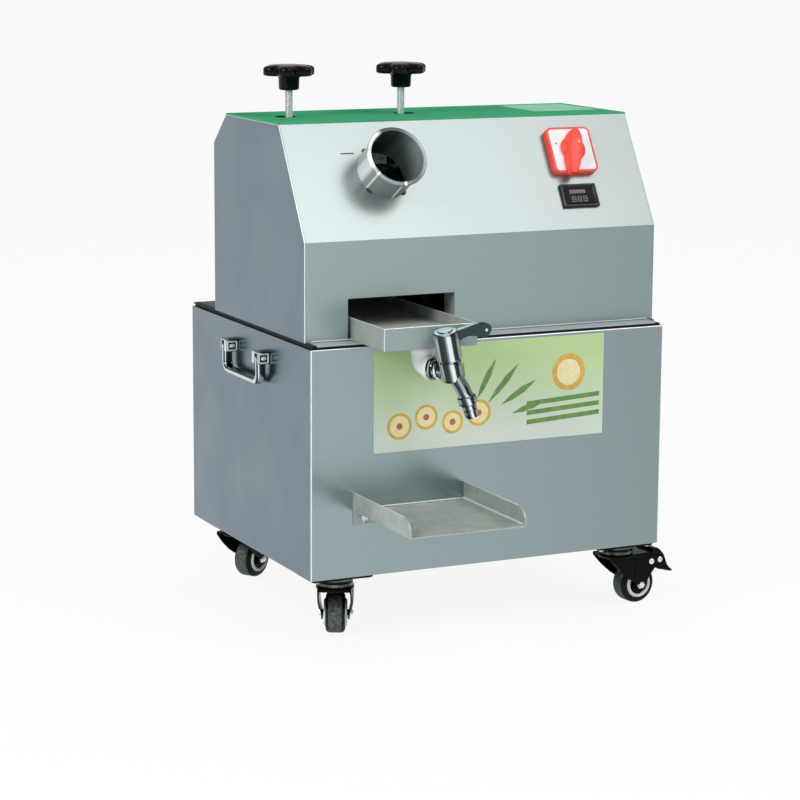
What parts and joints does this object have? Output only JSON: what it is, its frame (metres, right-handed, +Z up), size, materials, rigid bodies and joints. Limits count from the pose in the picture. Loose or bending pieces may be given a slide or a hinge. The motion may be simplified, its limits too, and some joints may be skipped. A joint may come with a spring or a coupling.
{
  "type": "electric sugarcane juicer",
  "caption": "Wheeled sheet-steel sugarcane juicer with a sloped feed tube, three geared rollers under hand screws, a slide-out juice tray with a tap and a cup shelf.",
  "frame": {"origin": "on the floor under the middle of the machine's outer box", "axes": "+Z up, -Y to the front where the feed tube and tap are, +X to the right seen from the front"},
  "size_m": [0.5512, 0.578, 0.709],
  "materials": {
    "cabinet_steel": "satin sheet steel",
    "front_steel": "satin sheet steel",
    "tray_steel": "satin sheet steel",
    "tube_steel": "rolled tube, polished lip",
    "green_cover": "glossy green film",
    "caster_black": "black enamel",
    "wheel_rubber": "dusty black tread",
    "chrome": "polished",
    "zinc": "bright zinc",
    "knob_black": "glossy moulding",
    "elbow_white": "moulded",
    "switch_red": "moulded",
    "switch_white": "blank plate",
    "meter_black": "moulded",
    "meter_glass": "dark window",
    "press_iron": "machined",
    "roller_steel": "turned",
    "bronze": "machined",
    "motor_paint": "black paint",
    "battery_case": "moulded",
    "seal_rubber": "strip"
  },
  "bodies": {
    "machine": {"cabinet_shell": "cabinet_steel", "cabinet_back": "cabinet_steel", "cabinet_floor": "cabinet_steel", "head_side_left": "cabinet_steel", "head_side_right": "cabinet_steel", "head_back": "cabinet_steel", "head_front": "front_steel", "cup_tray": "tray_steel", "deck_plate": "tray_steel", "bagasse_chute": "tray_steel", "feed_tube": "tube_steel", "top_cover": "green_cover", "caster_plates": "caster_black", "handle_posts": "chrome", "switch_frame": "switch_red", "switch_plate": "switch_white", "meter_bezel": "meter_black", "meter_window": "meter_glass", "press_frames": "press_iron", "screw_bridges": "press_iron", "gearbox": "press_iron", "motor_bracket": "press_iron", "tie_bars": "roller_steel", "roller_bushes": "bronze", "motor": "motor_paint", "battery": "battery_case", "deck_seal": "seal_rubber"},
    "door": {"cabinet_door": "cabinet_steel"},
    "latch": {"door_latch": "knob_black"},
    "handle_left": {"handle_bail_left": "chrome"},
    "handle_right": {"handle_bail_right": "chrome"},
    "press_carriage": {"bearing_blocks": "bronze"},
    "screw_left": {"press_screw_left": "zinc", "knob_left": "knob_black"},
    "screw_right": {"press_screw_right": "zinc", "knob_right": "knob_black"},
    "upper_roller": {"roller_upper": "roller_steel", "gear_upper": "press_iron"},
    "front_roller": {"roller_front": "roller_steel", "gear_front": "press_iron"},
    "rear_roller": {"roller_rear": "roller_steel", "gear_rear": "press_iron", "drive_coupling": "roller_steel"},
    "juice_drawer": {"juice_tray": "tray_steel", "tap_elbow": "elbow_white", "tap_body": "chrome"},
    "tap_lever": {"tap_handle": "chrome"},
    "switch": {"switch_knob": "switch_red"},
    "swivel_fl": {"caster_fork_fl": "caster_black"},
    "wheel_fl": {"caster_wheel_fl": "wheel_rubber"},
    "pedal_fl": {"brake_pedal_fl": "caster_black"},
    "swivel_fr": {"caster_fork_fr": "caster_black"},
    "wheel_fr": {"caster_wheel_fr": "wheel_rubber"},
    "pedal_fr": {"brake_pedal_fr": "caster_black"},
    "swivel_bl": {"caster_fork_bl": "caster_black"},
    "wheel_bl": {"caster_wheel_bl": "wheel_rubber"},
    "pedal_bl": {"brake_pedal_bl": "caster_black"},
    "swivel_br": {"caster_fork_br": "caster_black"},
    "wheel_br": {"caster_wheel_br": "wheel_rubber"},
    "pedal_br": {"brake_pedal_br": "caster_black"}
  },
  "joints": [
    {"name": "swivel_turn_fl", "type": "hinge", "parent": "machine", "child": "swivel_fl", "pos_m": [-0.21355, -0.093, 0.075], "axis": [0, 0, 1], "continuous": true},
    {"name": "wheel_roll_fl", "type": "hinge", "parent": "swivel_fl", "child": "wheel_fl", "pos_m": [-0.20084, -0.06693, 0.026], "axis": [-0.8988, 0.4384, 0], "continuous": true},
    {"name": "brake_press_fl", "type": "hinge", "parent": "swivel_fl", "child": "pedal_fl", "pos_m": [-0.1947, -0.05435, 0.057], "axis": [-0.8988, 0.4384, 0], "range_deg": [0, 12]},
    {"name": "swivel_turn_fr", "type": "hinge", "parent": "machine", "child": "swivel_fr", "pos_m": [0.19445, -0.093, 0.075], "axis": [0, 0, 1], "continuous": true},
    {"name": "wheel_roll_fr", "type": "hinge", "parent": "swivel_fr", "child": "wheel_fr", "pos_m": [0.22334, -0.09047, 0.026], "axis": [-0.0872, 0.9962, 0], "continuous": true},
    {"name": "brake_press_fr", "type": "hinge", "parent": "swivel_fr", "child": "pedal_fr", "pos_m": [0.23728, -0.08925, 0.057], "axis": [-0.0872, 0.9962, 0], "range_deg": [0, 12]},
    {"name": "swivel_turn_bl", "type": "hinge", "parent": "machine", "child": "swivel_bl", "pos_m": [-0.21355, 0.227, 0.075], "axis": [0, 0, 1], "continuous": true},
    {"name": "wheel_roll_bl", "type": "hinge", "parent": "swivel_bl", "child": "wheel_bl", "pos_m": [-0.1887, 0.24194, 0.026], "axis": [-0.515, 0.8572, 0], "continuous": true},
    {"name": "brake_press_bl", "type": "hinge", "parent": "swivel_bl", "child": "pedal_bl", "pos_m": [-0.1767, 0.24915, 0.057], "axis": [-0.515, 0.8572, 0], "range_deg": [0, 12]},
    {"name": "swivel_turn_br", "type": "hinge", "parent": "machine", "child": "swivel_br", "pos_m": [0.19445, 0.227, 0.075], "axis": [0, 0, 1], "continuous": true},
    {"name": "wheel_roll_br", "type": "hinge", "parent": "swivel_br", "child": "wheel_br", "pos_m": [0.2217, 0.23692, 0.026], "axis": [-0.342, 0.9397, 0], "continuous": true},
    {"name": "brake_press_br", "type": "hinge", "parent": "swivel_br", "child": "pedal_br", "pos_m": [0.23485, 0.24171, 0.057], "axis": [-0.342, 0.9397, 0], "range_deg": [0, 12]},
    {"name": "door_swing", "type": "hinge", "parent": "machine", "child": "door", "pos_m": [0.17145, 0.2813, 0.2305], "axis": [0, 0, -1], "range_deg": [0, 110]},
    {"name": "latch_turn", "type": "hinge", "parent": "door", "child": "latch", "pos_m": [-0.16355, 0.277, 0.2305], "axis": [0, -1, 0], "range_deg": [0, 90]},
    {"name": "handle_swing_left", "type": "hinge", "parent": "machine", "child": "handle_left", "pos_m": [-0.26905, 0.071, 0.345], "axis": [0, 1, 0], "range_deg": [0, 90]},
    {"name": "handle_swing_right", "type": "hinge", "parent": "machine", "child": "handle_right", "pos_m": [0.24995, 0.071, 0.345], "axis": [0, -1, 0], "range_deg": [0, 90]},
    {"name": "press_slide", "type": "slide", "parent": "machine", "child": "press_carriage", "axis": [0, 0, 1], "range_m": [0, 0.0015]},
    {"name": "screw_turn_left", "type": "hinge", "parent": "press_carriage", "child": "screw_left", "pos_m": [-0.20455, 0.072, 0.645], "axis": [0, 0, 1], "range_deg": [0, 360]},
    {"name": "screw_turn_right", "type": "hinge", "parent": "press_carriage", "child": "screw_right", "pos_m": [-0.04655, 0.072, 0.645], "axis": [0, 0, 1], "range_deg": [0, 360]},
    {"name": "upper_roller_spin", "type": "hinge", "parent": "press_carriage", "child": "upper_roller", "pos_m": [-0.12555, 0.072, 0.54896], "axis": [1, 0, 0], "continuous": true},
    {"name": "front_roller_spin", "type": "hinge", "parent": "machine", "child": "front_roller", "pos_m": [-0.12555, 0.034, 0.495], "axis": [1, 0, 0], "continuous": true},
    {"name": "rear_roller_spin", "type": "hinge", "parent": "machine", "child": "rear_roller", "pos_m": [-0.12555, 0.11, 0.495], "axis": [1, 0, 0], "continuous": true},
    {"name": "juice_tray_pull", "type": "slide", "parent": "machine", "child": "juice_drawer", "axis": [0, -1, 0], "range_m": [0, 0.2]},
    {"name": "tap_turn", "type": "hinge", "parent": "juice_drawer", "child": "tap_lever", "pos_m": [-0.11211, -0.21069, 0.3553], "axis": [0.2193, 0.1022, -0.9703], "range_deg": [0, 90]},
    {"name": "switch_turn", "type": "hinge", "parent": "machine", "child": "switch", "pos_m": [0.13945, -0.04484, 0.59728], "axis": [0, -0.8624, 0.5062], "range_deg": [-60, 60]}
  ],
  "couplings": [
    {"joint": "upper_roller_spin", "follows": "rear_roller_spin", "ratio": -1},
    {"joint": "front_roller_spin", "follows": "rear_roller_spin", "ratio": 1},
    {"joint": "screw_turn_left", "follows": "press_slide", "rad_per_m": 4188.8},
    {"joint": "screw_turn_right", "follows": "press_slide", "rad_per_m": 4188.8}
  ]
}
